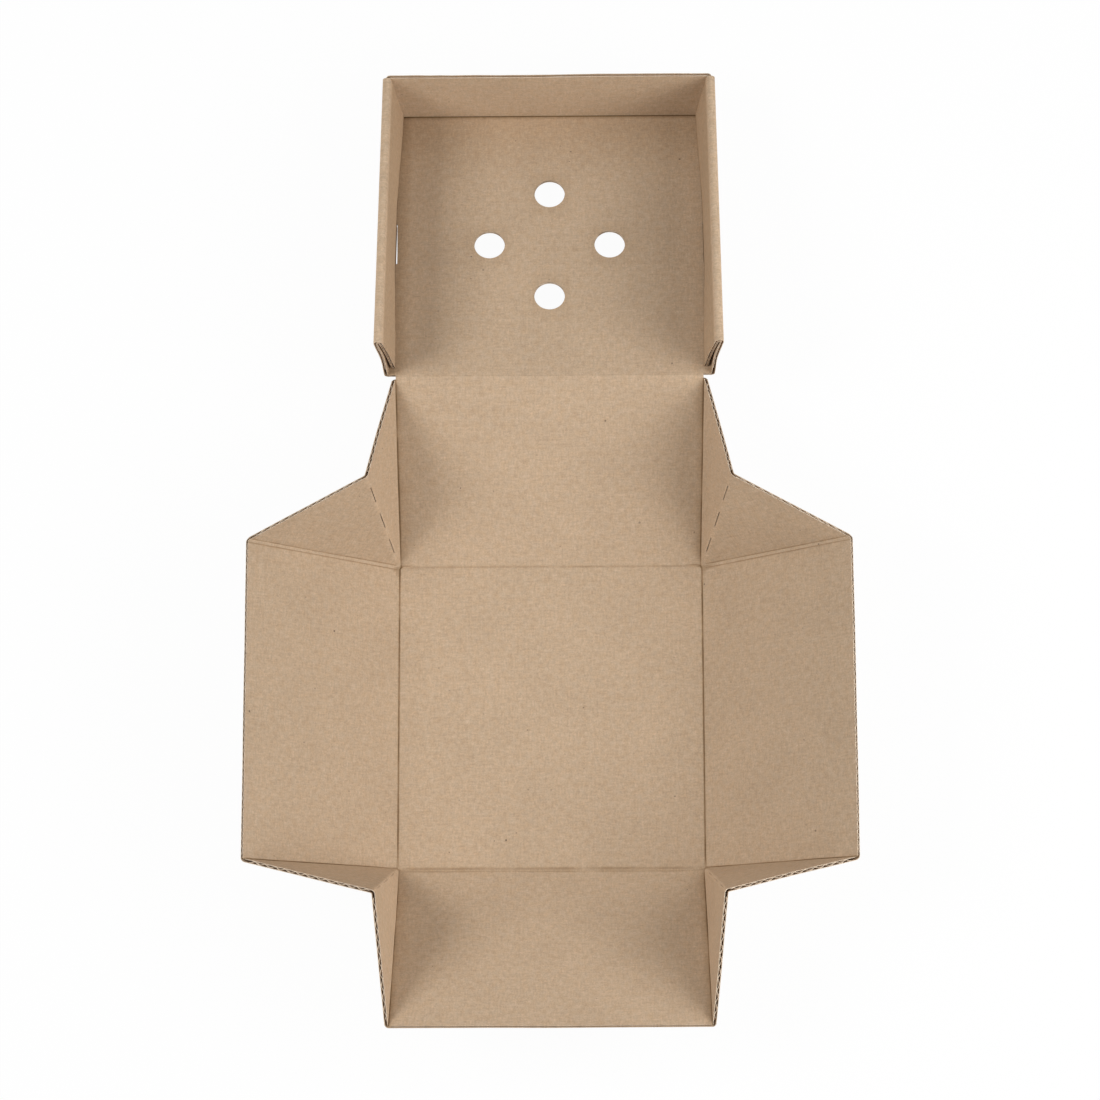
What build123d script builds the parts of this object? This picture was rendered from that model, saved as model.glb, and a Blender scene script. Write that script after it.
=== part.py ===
"""Burger box of kraft corrugated board, standing open: a square tray with webbed corners and a hinged lid.

Millimetres, +Z up. The base panel lies on Z = 0 about the origin, the front is -Y and the lid lies open
towards +Y. Every panel is drawn on the middle plane of the board and gets half the board to each side, so a
crease is the line where two middle planes meet. The right half is drawn and mirrored about the middle plane
of the box.
"""
import os
from math import asin, atan, cos, degrees, radians, sin, sqrt, tan

from build123d import *

# Board: two liners with flutes between them. They run along X in the flat blank
# and are open at the cut edges that cross them
board = 1.5
half_board = board / 2
liner = 0.22
fluting = 0.2
flute_pitch = 3.25
flute_depth = 3.0
crease_bead_share = 0.57
corner_bead_share = 0.64
crease_bead = board * crease_bead_share
corner_bead = board * corner_bead_share
crease_inset = board / 4
cut_overrun = 2 * board

# Tray. The back wall is one board higher than the others, so that the lid closes over the side walls
base_width = 130.0
base_depth = 130.0
wall_height = 80.0
back_wall_height = wall_height + board
wall_flare = radians(1.0)
side_rise = radians(41.5)
front_rise = radians(31.7)
back_rise = radians(18.5)

# Webs that fold in at the corners, each with a perforated crease ending in a blunt point between the walls
web_point_reach = 2.9
perforation_cuts = 3
perforation_bridge = 7.4
perforation_width = 0.6
perforation_top = 7.0
perforation_foot = 10.0

# Hinge of the lid along the top of the back wall
hinge_clearance = 0.15
lid_overhang = 3.1

# Lid
lid_depth = base_depth - board
lid_taper = radians(0.6)
lid_wall_height = 32.0
lid_wall_lean = radians(5.5)
lid_wall_clearance = 0.2
rim_gap = 0.35
layer_pitch = 2 * board
foot_bite = board / 5
inner_layer_trim = 3.5

# End tabs of the lid's front wall, pressed flat between the layers of the side walls
end_tab_length = 26.0
end_tab_drop = 10.0
end_tab_pressed_share = 0.45
end_tab_clearance = 0.1
end_tab_corner = 5.0

# Lock tabs of the side walls' inner layers, each in a slot of the lid panel
lock_tab_width = 19.0
lock_tab_reach = 1.2
lock_slot_clearance = 0.4
lock_slot_daylight = 0.9

# Steam vents, in a diamond whose middle is that far from the hinge
vent_diameter = 13.2
vent_distance = 63.5
vent_spread = 26.0
vent_offset = 25.0

# Corners of the tray on its middle planes, right half
half_corner = radians(45) - wall_flare
web_crease = wall_height * cos(half_corner) / cos(wall_flare) + web_point_reach
front_corner = Vector(base_width / 2, -base_depth / 2, half_board)
back_corner = Vector(base_width / 2, base_depth / 2, half_board)
flare_run = wall_height * tan(wall_flare)


def side_top(corner, end):
    """Top corner of the side wall above a base corner, at the front (-1) or back (+1) end."""
    return corner + Vector(wall_height * cos(side_rise), end * flare_run, wall_height * sin(side_rise))


def end_top(corner, end, height, rise):
    """Top corner of the front (-1) or back (+1) wall above a base corner."""
    return corner + Vector(height * tan(wall_flare), end * height * cos(rise), height * sin(rise))


def web_top(corner, side_point, end_point):
    """Free end of a web's middle crease: half a flat corner from both walls, on the inner side of the tray."""
    to_side = (side_point - corner).normalized()
    to_end = (end_point - corner).normalized()
    opening = to_side.dot(to_end)
    reach = cos(half_corner) / (1 + opening)
    across = (to_side + to_end) * reach
    normal = to_side.cross(to_end).normalized()
    inward = normal if normal.Z > 0 else normal * -1
    return corner + (across + inward * sqrt(1 - across.dot(across))) * web_crease


front_side = side_top(front_corner, -1)
back_side = side_top(back_corner, 1)
front_end = end_top(front_corner, -1, wall_height, front_rise)
back_end = end_top(back_corner, 1, back_wall_height, back_rise)
front_web = web_top(front_corner, front_side, front_end)
back_web = web_top(back_corner, back_side, back_end)


def on_middle(point):
    """The point's foot on the middle plane of the box."""
    return Vector(0, point.Y, point.Z)


def panel_plane(outline):
    """Plane through the first three corners of a flat panel."""
    along = outline[1] - outline[0]
    return Plane(origin=outline[0], x_dir=along, z_dir=along.cross(outline[2] - outline[0]))


def short_of(start, end, inset):
    """The crease from start, stopped a little before the cut edge at end."""
    run = end - start
    return start, end - run.normalized() * inset


tray_panels = [
    [Vector(0, front_corner.Y, half_board), front_corner, back_corner, Vector(0, back_corner.Y, half_board)],
    [front_corner, front_side, back_side, back_corner],
    [on_middle(front_corner), front_corner, front_end, on_middle(front_end)],
    [on_middle(back_corner), back_corner, back_end, on_middle(back_end)],
    [front_corner, front_side, front_web],
    [front_corner, front_web, front_end],
    [back_corner, back_side, back_web],
    [back_corner, back_web, back_end],
]
tray_creases = [
    (front_corner, back_corner),
    (on_middle(front_corner), front_corner),
    (on_middle(back_corner), back_corner),
    short_of(front_corner, front_side, crease_inset),
    short_of(front_corner, front_end, crease_inset),
    short_of(front_corner, front_web, crease_inset),
    short_of(back_corner, back_side, crease_inset),
    short_of(back_corner, back_end, crease_inset),
    short_of(back_corner, back_web, crease_inset),
    short_of(on_middle(back_end), back_end, crease_inset),
]
web_folds = [(front_corner, front_side, front_web, front_end), (back_corner, back_side, back_web, back_end)]
perforation_cut = (web_crease - perforation_top - perforation_foot) / perforation_cuts
perforation_cut -= perforation_bridge * (perforation_cuts - 1) / perforation_cuts


def flutes_along(start, end, inward):
    """Planes across the flutes a cut edge opens: X across a flute, Y out of the board, Z inwards along it."""
    edge = end - start
    run = edge - inward * edge.dot(inward)
    margin = flute_pitch + flute_depth
    count = int((run.length - 2 * margin) / flute_pitch)
    first = (run.length - count * flute_pitch) / 2
    shares = [(first + flute_pitch * number) / run.length for number in range(count + 1)]
    return [Plane(origin=start + edge * share, x_dir=run, z_dir=inward) for share in shares]


flute_mouths = flutes_along(front_side, back_side, (front_corner - front_side).normalized())
for corner, side_point, web_point, end_point in web_folds:
    to_side = (corner - side_point).normalized()
    to_end = (end_point - corner).normalized()
    across = (web_point - corner) - to_end * (web_point - corner).dot(to_end)
    flute_mouths += flutes_along(side_point, web_point, to_side)
    flute_mouths += flutes_along(web_point, end_point, across.normalized() * -1)
core = half_board - liner
crest = core - fluting
mouth_half_width = flute_pitch / 2 - fluting

with BuildPart() as tray:
    for start, end in tray_creases:
        with BuildSketch(Plane(origin=start, z_dir=end - start)):
            Circle(crease_bead)
        extrude(amount=(end - start).length)
    with Locations(front_corner, back_corner):
        Sphere(corner_bead)
    for outline in tray_panels:
        plane = panel_plane(outline)
        with BuildSketch(plane):
            with BuildLine():
                Polyline(*[plane.to_local_coords(point) for point in outline], close=True)
            make_face()
    extrude(amount=half_board, both=True)
    for corner, side_point, web_point, end_point in web_folds:
        crease = (corner - web_point).normalized()
        side_normal = (side_point - corner).cross(web_point - corner).normalized()
        end_normal = (web_point - corner).cross(end_point - corner).normalized()
        for cut in range(perforation_cuts):
            middle = perforation_top + perforation_cut / 2 + cut * (perforation_cut + perforation_bridge)
            slit = Plane(origin=web_point + crease * middle, x_dir=crease, z_dir=side_normal + end_normal)
            with BuildSketch(slit):
                Rectangle(perforation_cut, perforation_width)
            extrude(amount=cut_overrun, both=True, mode=Mode.SUBTRACT)
    for mouth in flute_mouths:
        with BuildSketch(mouth):
            with BuildLine():
                Polyline((-mouth_half_width, core), (mouth_half_width, core), (0, -crest), close=True)
            make_face()
            with BuildLine():
                left, right = fluting, flute_pitch - fluting
                Polyline((left, -core), (right, -core), (flute_pitch / 2, crest), close=True)
            make_face()
    extrude(amount=flute_depth, both=True, mode=Mode.SUBTRACT)
    split(bisect_by=Plane.XY, keep=Keep.TOP)
    mirror(about=Plane.YZ)
tray.part.label = "tray"

# Lid, in a frame with its origin on the hinge: X along the hinge, Y down the lid to its front fold and Z out of
# its inner face
hinge = on_middle(back_end)
lid_slope = asin((hinge.Z - crease_bead) / lid_depth)
lid_plane = Plane(origin=hinge, x_dir=(1, 0, 0), z_dir=(0, sin(lid_slope), cos(lid_slope)))
lid_half_width = back_end.X + lid_overhang
front_half_width = lid_half_width - lid_depth * tan(lid_taper)
lid_wall_setback = crease_bead + hinge_clearance + lid_wall_clearance
rim_radius = half_board + rim_gap
wall_straight = lid_wall_height - rim_radius - half_board
layer_spread = atan((layer_pitch - 2 * rim_radius) / wall_straight)
inner_lean = lid_wall_lean + layer_spread
gap_lean = lid_wall_lean + layer_spread / 2
gap_foot = half_board / cos(gap_lean)
wall_run = Vector(-sin(lid_taper), cos(lid_taper), 0)
wall_out = Vector(cos(lid_taper), sin(lid_taper), 0)


def lid_point(x, y, z):
    """A point of the lid's frame in the frame of the box."""
    return lid_plane.from_local_coords(Vector(x, y, z))


def lid_direction(vector):
    """A direction of the lid's frame in the frame of the box."""
    return lid_plane.from_local_coords(vector) - hinge


def side_section(distance):
    """Section plane of the right side wall, that far along its crease from the hinge: X outwards and Y up."""
    foot = Vector(lid_half_width, 0, 0) + wall_run * distance
    across = lid_direction(wall_out)
    along = lid_direction(wall_run * -1)
    return Plane(origin=lid_point(foot.X, foot.Y, foot.Z), x_dir=across, z_dir=along)


wall_length = lid_depth / cos(lid_taper)
gap_up = Vector(0, 0, 1) + wall_out * tan(gap_lean)
gap_plane = Plane(
    origin=side_section(lid_wall_setback).from_local_coords((-layer_pitch / 2, 0)),
    x_dir=lid_direction(wall_run * -1),
    z_dir=lid_direction((wall_run * -1).cross(gap_up)),
)
front_wall_height = lid_wall_height - half_board
tab_lift = crease_bead + end_tab_clearance
end_tab_height = lid_wall_height - end_tab_drop
tab_inset = half_board + end_tab_clearance + board * end_tab_pressed_share / 2
tab_foot = front_half_width - tab_inset
tab_top = tab_foot + front_wall_height * tan(lid_wall_lean)
front_facing = lid_direction(Vector(0, -1, 0))
front_plane = Plane(origin=lid_point(0, lid_depth, 0), x_dir=(1, 0, 0), z_dir=front_facing)
tab_up = Vector(tab_top - tab_foot, 0, front_wall_height).normalized()
tab_plane = Plane(
    origin=lid_point(tab_foot, lid_depth, 0),
    x_dir=lid_direction(wall_run * -1),
    z_dir=lid_direction((wall_run * -1).cross(tab_up)),
)
tab_fold_top = lid_point(tab_top, lid_depth, front_wall_height)
tab_fold = short_of(tab_plane.from_local_coords(Vector(0, tab_lift, 0)), tab_fold_top, crease_inset)

with BuildPart() as lid:
    with BuildSketch(lid_plane):
        with BuildLine():
            Polyline((0, 0), (lid_half_width, 0), (front_half_width, lid_depth), (0, lid_depth), close=True)
        make_face()
        near, far = vent_distance - vent_offset, vent_distance + vent_offset
        with Locations((0, near), (0, far), (vent_spread, vent_distance)):
            Circle(vent_diameter / 2, mode=Mode.SUBTRACT)
    extrude(amount=half_board, both=True)

    # Creases at the foot of the side wall and of the front wall
    for start, end in (
        (side_section(lid_wall_setback).origin, side_section(wall_length).origin),
        (lid_point(0, lid_depth, 0), lid_point(front_half_width, lid_depth, 0)),
    ):
        with BuildSketch(Plane(origin=start, z_dir=end - start)):
            Circle(crease_bead)
        extrude(amount=(end - start).length)

    # Side wall: outer layer, rolled rim and inner layer, whose foot stands on the lid panel
    with BuildSketch(side_section(lid_wall_setback)):
        with BuildLine():
            outer = PolarLine((0, 0), wall_straight, 90 - degrees(lid_wall_lean))
            rim = JernArc(outer @ 1, outer % 1, rim_radius, 180 - degrees(layer_spread))
            foot_drop = (rim @ 1).Y - half_board + foot_bite
            inner_foot = (rim @ 1) - Vector(foot_drop * tan(inner_lean), foot_drop)
            Line(rim @ 1, inner_foot)
        trace(line_width=board)
    extrude(amount=-(wall_length - lid_wall_setback))

    # Rear corner of the inner layer, trimmed back towards its foot from the gap between the layers inwards
    with BuildSketch(gap_plane):
        with BuildLine():
            Polyline(
                (0, wall_straight),
                (-inner_layer_trim, gap_foot),
                (cut_overrun, gap_foot),
                (cut_overrun, wall_straight),
                close=True,
            )
        make_face()
    extrude(amount=layer_pitch, mode=Mode.SUBTRACT)

    # Front wall between the side walls, its end fold and the end tab behind the side wall's inner layer
    with BuildSketch(front_plane):
        with BuildLine():
            Polyline((0, 0), (tab_foot, 0), (tab_top, front_wall_height), (0, front_wall_height), close=True)
        make_face()
    extrude(amount=half_board, both=True)
    with BuildSketch(Plane(origin=tab_fold[0], z_dir=tab_fold[1] - tab_fold[0])):
        Circle(crease_bead)
    extrude(amount=(tab_fold[1] - tab_fold[0]).length)
    with BuildSketch(tab_plane):
        with BuildLine():
            Polyline(
                (0, tab_lift),
                (end_tab_length, tab_lift),
                (end_tab_length, end_tab_height - end_tab_corner),
                (end_tab_length - end_tab_corner, end_tab_height),
                (0, end_tab_height),
                close=True,
            )
        make_face()
    extrude(amount=board * end_tab_pressed_share / 2, both=True)

    # Lock tab of the inner layer, and its slot with a sliver of daylight on the inner side
    with BuildSketch(side_section(wall_length / 2)):
        with BuildLine():
            Polyline(
                (inner_foot.X - half_board - lock_slot_daylight, half_board),
                (inner_foot.X + half_board + lock_slot_clearance, half_board),
                (inner_foot.X + half_board + lock_slot_clearance, -cut_overrun),
                (inner_foot.X - half_board - lock_slot_daylight, -cut_overrun),
                close=True,
            )
        make_face()
    extrude(amount=lock_tab_width / 2 + lock_slot_clearance, both=True, mode=Mode.SUBTRACT)
    with BuildSketch(side_section(wall_length / 2)):
        with BuildLine():
            Polyline(
                (inner_foot.X - half_board, board),
                (inner_foot.X + half_board, board),
                (inner_foot.X + half_board, -half_board - lock_tab_reach),
                (inner_foot.X - half_board, -half_board - lock_tab_reach),
                close=True,
            )
        make_face()
    extrude(amount=lock_tab_width / 2, both=True)

    # Hollow of the hinge, in which the rounded top edge of the back wall turns
    with BuildSketch(Plane(origin=hinge, z_dir=(1, 0, 0))):
        Circle(crease_bead + hinge_clearance)
    extrude(amount=lid_half_width + layer_pitch, mode=Mode.SUBTRACT)
    mirror(about=Plane.YZ)
lid.part.label = "lid"
os.makedirs("parts", exist_ok=True)
export_step(tray.part, "parts/tray.step")
export_step(lid.part, "parts/lid.step")
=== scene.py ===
"""Looks of the open kraft burger box: layered corrugated board, two liners with the fluting between them."""
from collections import namedtuple
from functools import partial
from itertools import pairwise
from math import acos, asin, atan, atan2, copysign, cos, exp, hypot, pi, radians, sin, sqrt, tan

import bmesh
import bpy
import numpy as np
from mathutils import Matrix, Vector, noise
from numpy.linalg import inv, norm


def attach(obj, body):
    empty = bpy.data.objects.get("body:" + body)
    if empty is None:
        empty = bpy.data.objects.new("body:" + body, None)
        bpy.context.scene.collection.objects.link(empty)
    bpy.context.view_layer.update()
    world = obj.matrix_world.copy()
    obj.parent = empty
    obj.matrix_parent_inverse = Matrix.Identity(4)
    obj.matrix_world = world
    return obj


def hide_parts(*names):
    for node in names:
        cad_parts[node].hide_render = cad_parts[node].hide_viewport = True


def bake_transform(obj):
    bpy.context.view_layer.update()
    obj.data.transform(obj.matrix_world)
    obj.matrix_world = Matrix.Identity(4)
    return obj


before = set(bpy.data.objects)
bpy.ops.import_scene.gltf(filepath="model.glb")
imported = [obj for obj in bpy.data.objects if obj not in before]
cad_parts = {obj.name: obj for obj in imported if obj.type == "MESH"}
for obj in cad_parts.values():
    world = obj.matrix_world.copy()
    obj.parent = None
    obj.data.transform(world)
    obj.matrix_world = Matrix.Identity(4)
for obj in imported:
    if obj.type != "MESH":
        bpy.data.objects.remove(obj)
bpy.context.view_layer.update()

SIDES = (-1, 1)
CORNERS = [(side, end) for side in SIDES for end in SIDES]
SEED_STEPS = (17.3, -5.1, 3.7)
TINY = 1e-12


def unit(vector):
    return vector / norm(vector)


def point(x, y, z):
    return np.array([x, y, z], float)


def ripple(p, row):
    """Smooth noise at a place in millimetres. The row gives its depth, its size and its seed."""
    depth, size, seed = row
    return depth * noise.noise(Vector([a / size + seed * step for a, step in zip(p, SEED_STEPS)]))


def ease(low, high, value):
    """From 0 at low to 1 at high, smooth at both ends."""
    share = min(1.0, max(0.0, (value - low) / (high - low)))
    return share * share * (3 - 2 * share)


def hump(value, middle, width):
    """A bell of height 1 round the middle."""
    return exp(-((value - middle) / width) ** 2)


def edges_of(ring):
    return zip(ring, ring[1:] + ring[:1])


# Board, in millimetres as in the part's source
SCALE = 0.001
BOARD = 1.5
HALF = BOARD / 2
LINER = 0.22
MEDIUM = 0.2
PITCH = 3.25
CORE = HALF - LINER
WAVE = CORE - MEDIUM / 2
CREASE = 1.0
CREASE_STEPS = 10
HINGE_HALF = 0.8
LEAST_COSINE = 0.7

# Tray
BASE = 130.0
WALL = 80.0
BACK_WALL = WALL + BOARD
FLARE = radians(1.0)
FLARE_RUN = WALL * tan(FLARE)
SIDE_RISE = radians(41.5)
FRONT_RISE = radians(31.7)
BACK_RISE = radians(18.5)
HALF_CORNER = radians(45) - FLARE
WEB_REACH = 2.9
WEB_CREASE = WALL * cos(HALF_CORNER) / cos(FLARE) + WEB_REACH
BACK_HALF = BASE / 2 + BACK_WALL * tan(FLARE)
HINGE = point(0, BASE / 2 + BACK_WALL * cos(BACK_RISE), HALF + BACK_WALL * sin(BACK_RISE))

# Slits along the web's ridge, cut out of a strip of the fold and drawn nearly shut
CUTS = 3
CUT_TOP = 7.0
CUT_FOOT = 10.0
CUT_BRIDGE = 7.4
SLIT_STRIP = {-1: (0.5, 0.6), 1: (0.4, 0.6)}
SLIT_PINCH = 0.6
RIDGE_REACH = 2.5

# How the tray's mesh is cut up: beside its folds, and by a grid that misses its corners
BESIDE_FOLDS = (1.2, 1.5, 1.9, 2.6)
GRID = 5
GRID_REACH = ((Vector((1, 0, 0)), 128), (Vector((0, 1, 0)), 140))
GRID_SHIFT = 0.013
FLAT_COSINE = 0.9999
FLAT_GAP = 0.01
CUT_LEAST = 1e-4
MERGE = 0.03

# Lid, in its own frame: X along the hinge, Y down the lid and Z out of its inner face
LID_DEPTH = BASE - BOARD
LID_REST = 0.57 * BOARD
LID_SLOPE = asin((HINGE[2] - LID_REST) / LID_DEPTH)
LID_DOWN = point(0, cos(LID_SLOPE), -sin(LID_SLOPE))
LID_UP = point(0, sin(LID_SLOPE), cos(LID_SLOPE))
LID_BLANK = BASE / 2 + BACK_WALL
OVERHANG = 3.1
TAPER = radians(0.6)
LID_HALF = BACK_HALF + OVERHANG
FRONT_HALF = LID_HALF - LID_DEPTH * tan(TAPER)
PANEL_END = LID_DEPTH - CREASE

# The lid's side walls: outer layer, rolled rim and inner layer, whose foot is pressed out at the lock tab
LID_WALL = 32.0
LEAN = radians(5.5)
RIM_ROOM = 0.35
RIM_RADIUS = HALF + RIM_ROOM
LAYER_PITCH = 2 * BOARD
STRAIGHT = LID_WALL - RIM_RADIUS - HALF
SPREAD = atan((LAYER_PITCH - 2 * RIM_RADIUS) / STRAIGHT)
INNER_LEAN = LEAN + SPREAD
OUTER_STEPS = 6
RIM_STEPS = 12
INNER_STEPS = 9
FOOT_SHARE = 0.93
FOOT_GAP = 0.04
INNER_TRIM = 3.5
TRIM_FADE = 20.0
PRESSED = 1.4
PRESSED_POWER = 1.6
PRESSED_SPOTS = [(0, -0.1), (16, 0.1), (34, 0.5), (52, 1.0), (80, 1.0), (96, 0.7), (108, 0.25)]
PRESSED_SPOTS += [(120, -0.1), (131, -0.2)]
CRUSH = {"outer": 0.8, "inner": 0.35, "foot": 0.35}
CRUSH_REACH = 5

# Lock tabs and their slots. A sliver of daylight shows beside the tab, and tapers towards the lid's front.
LOCK_WIDTH = 19.0
LOCK_REACH = 1.2
LOCK_GAP = 0.4
LOCK_MIDDLE = LID_DEPTH / 2
LOCK_DROP = HALF + FOOT_GAP + HALF + LOCK_REACH
TAB_START, TAB_END = LOCK_MIDDLE - LOCK_WIDTH / 2, LOCK_MIDDLE + LOCK_WIDTH / 2
SLOT_START, SLOT_END = TAB_START - LOCK_GAP, TAB_END + LOCK_GAP
SLOT_INNER = LAYER_PITCH - PRESSED + HALF
SLOT_CREASE = 4
DAYLIGHT = {-1: 0.7, 1: 0.05}
DAYLIGHT_TAPER = 0.55
DAYLIGHT_FADE = 95

# Vents
VENT = 13.2
VENT_DISTANCE = 63.5
VENT_SPREAD = 26.0
VENT_OFFSET = 25.0
VENT_BLOCK = 9.5
VENT_STEPS = 4
VENTS = [(0.0, VENT_DISTANCE - VENT_OFFSET), (0.0, VENT_DISTANCE + VENT_OFFSET)]
VENTS += [(-VENT_SPREAD, VENT_DISTANCE), (VENT_SPREAD, VENT_DISTANCE)]

# The lid's front wall and its end tabs, which are pressed thin behind the side walls
FRONT_WALL = LID_WALL - HALF
FRONT_TILT = radians(2.0)
TAB_LENGTH = 26.0
TAB_CORNER = 4.0
TAB_BELOW_TOP = 10.0
TAB_HEIGHT = LID_WALL - TAB_BELOW_TOP
TAB_PRESSED = 0.45
TAB_CLEAR = 0.1
TAB_FOOT = FRONT_HALF - HALF - TAB_CLEAR - BOARD * TAB_PRESSED / 2
TAB_FOLD = 1.0
TAB_FOLD_STEPS = 6
TAB_RUN = [TAB_LENGTH * share for share in (0.0, 0.25, 0.5, 0.75)] + [TAB_LENGTH - TAB_CORNER, TAB_LENGTH]
FRONT_HEIGHTS = (5.0, 10.0, 14.0, 18.0, TAB_HEIGHT, 26.5, FRONT_WALL)
FRONT_TOP = 30

# Grid of the lid. The outer columns are given as a side and a distance in from it.
PANEL_X = [float(x) for x in range(-60, 61, 5)]
COLUMNS = [(-1, CREASE), (-1, SLOT_INNER + DAYLIGHT[-1])] + PANEL_X
COLUMNS += [(1, SLOT_INNER + DAYLIGHT[1]), (1, CREASE)]
PANEL_Y = [HINGE_HALF, 1.3, 2.4] + [float(y) for y in range(5, 51, 5)]
PANEL_Y += [SLOT_START, TAB_START, 60.0, 65.0, 70.0, TAB_END, SLOT_END]
PANEL_Y += [float(y) for y in range(80, 126, 5)] + [PANEL_END - 1.6, PANEL_END - 0.5, PANEL_END]
WALL_Y = PANEL_Y + [LID_DEPTH + 0.2]

# Fluting behind the cut edges: how far in it starts, bends and ends, and how much of a narrow panel it fills
FLUTE_STEPS = 12
FLUTE_STEP = PITCH / FLUTE_STEPS
FLUTE_GRID = range(2 * FLUTE_STEPS + 1)
FLUTE_MOUTH = 0.06
FLUTE_BEND = 1.2
FLUTE_DEPTH = 7.0
FLUTE_FILL = 0.85
FLUTE_INSET = 0.12
# For each kind of edge, the length left free at its two ends and the depth of the panel behind them
EDGE_FLUTES = {"side": ((2.2, 2.2), (40, 40)), "side_web": ((2.4, 1.6), (80, 0))}
EDGE_FLUTES["end_web"] = ((1.6, 2.4), (43, 0))
FRONT_EDGE_COLUMNS = 26
FRONT_EDGE_PHASE = 0.9
FRONT_EDGE_SHARE = 0.96
# Cut ends of the lid's side walls: where the fluting starts, which way it goes in and its phase
LID_ENDS = ((HINGE_HALF + 0.15, 1, 0.4), (LID_DEPTH + 0.05, -1, 2.1))
LID_TOP_COLUMNS = 52
LID_TOP_PHASE = 1.0
LID_TOP_INSET = 1.2
VENT_FLUTES = 96
VENT_FLUTE_DEPTHS = (0.02, 2.2)

# Unevenness: depth, size and seed
TRAY_WARP = (0.38, 62, 1)
TRAY_SMALL_WARP = (0.14, 23, 2)
FOLD_MARK_RIPPLE = (0.5, 9, 3)
WALL_WARP = (0.3, 48, 5)
LID_WARP = (0.35, 47, 7)
WALL_RUB_AND_SHADE = {"rim": (0.12, 7, 8), "foot": (0.35, 9, 14)}
WALL_RIPPLE_X = 70
FRONT_WARP = (0.4, 40, 9)
FRONT_TOP_WARP = (0.22, 9, 10)
END_FLUTE_CRUSH = (0.5, 6, 11)
TOP_FLUTE_CRUSH = (0.8, 11, 12)
HINGE_RUB = (0.6, 8, 13)

# Stretches over which warp and marks come in, from none to all
REST_FADE = (1, 12)
HINGE_FADE = (2, 14)
CORNER_FADE = (1.5, 6)
PANEL_FADE = (1, 18)
WALL_FOOT_FADE = (1, 16)
WALL_TOP_FADE = (0, 14)
WALL_END_FADE = (2, 14)
FRONT_FOOT_FADE = (2, 14)
FRONT_END_FADE = (0, 14)

# Tones: below 0 is darker and browner, above 0 is lighter. Several are painted shade, as said beside them.
DARKEST = -1.2
OUTSIDE_MARKS_AND_SHADE = 0.12
# Dark line along the lid's front crease: a score mark and painted shade in the crease
PANEL_FOLD = (-0.9, PANEL_END, 0.5)
# Painted shade on the lid's panel, darker towards its front wall
PANEL_SHADE = -0.22
PANEL_SHADE_START = 90
# Painted shade on the panel beside each inner layer's foot, stronger on the left
FOOT_SHADE = {-1: -0.4, 1: -0.1}
# Tones down a side wall's section: the crease's dark line is a score mark and painted shade, the inner layer
# carries painted shade and the foot a dark line of painted shade in its gap; the rim is lighter
WALL_TONES = {"rim": 0.28, "crease": -0.25, "outer": 0.0, "inner": -0.22, "foot": -0.6}
# Painted shade in the gap under the inner layer's foot, darkest at the lock tab
LOCK_TONE = -0.6
LOCK_TONE_FADE = (20, 32)
LOCK_TAB_TONE = -0.1
VENT_TONE = -0.12
# The same crease on the front wall's side: a score mark and painted shade
FRONT_FOLD_TONE = (-1.5, 0.3, 0.4)
END_TAB_TONE = -0.15
HINGE_TONES = [(0.1, 0.35, 0.25), (-0.14, 0.8, 0.12)]
HINGE_WEAR = 0.8
HINGE_INSET = 0.9
HINGE_STEPS = 12
HINGE_COLUMNS = 28

# Pressed and rubbed lines across each kind of tray fold: strength, place across the fold and width. The dark
# tone lines are also painted shade in the folds.
FOLD_MARKS_AND_SHADE = {
    "base_side": [(-1.6, 0, 0.5)],
    "base_back": [(-0.35, 0, 0.45)],
    "base_front": [(-0.5, -0.2, 0.8), (-0.5, 1.4, 0.4)],
    "side_web_front": [(-1.4, 0.2, 0.7)],
    "side_web_back": [(-0.8, -1.2, 0.3), (-0.8, 1.2, 0.3), (0.1, 0, 0.6)],
    "end_web": [(0.15, 1.6, 0.7), (-1.9, -0.5, 0.65), (-0.25, -2.0, 1.1)],
    "ridge_front": [(0.55, 0, 0.45)],
    "ridge_back": [(0.2, 0, 0.9)],
}
FOLD_LIFTS = {
    "base_side": [(-0.12, 0, 0.4)],
    "base_back": [(-0.06, 0, 0.5)],
    "base_front": [(0.06, 0.6, 0.4)],
    "side_web_back": [(0.12, 0, 0.6)],
    "end_web": [(0.06, 1.3, 0.5), (-0.05, -0.5, 0.4)],
}
FOLD_MARK_LEVEL = 0.75
FOLD_REACH = 3.5
FOLD_SLACK = 0.12
FOLD_ENDS = (0.02, 0.98)
FRONT_FOLD_BREAK = (0.85, 14.5, 3.5)


def lines_at(rows, across):
    """Sum of lines, each with a strength, a place and a width."""
    return sum(strength * hump(across, place, width) for strength, place, width in rows)


LINER_KIND = 0
CUT_KIND = 1


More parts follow.
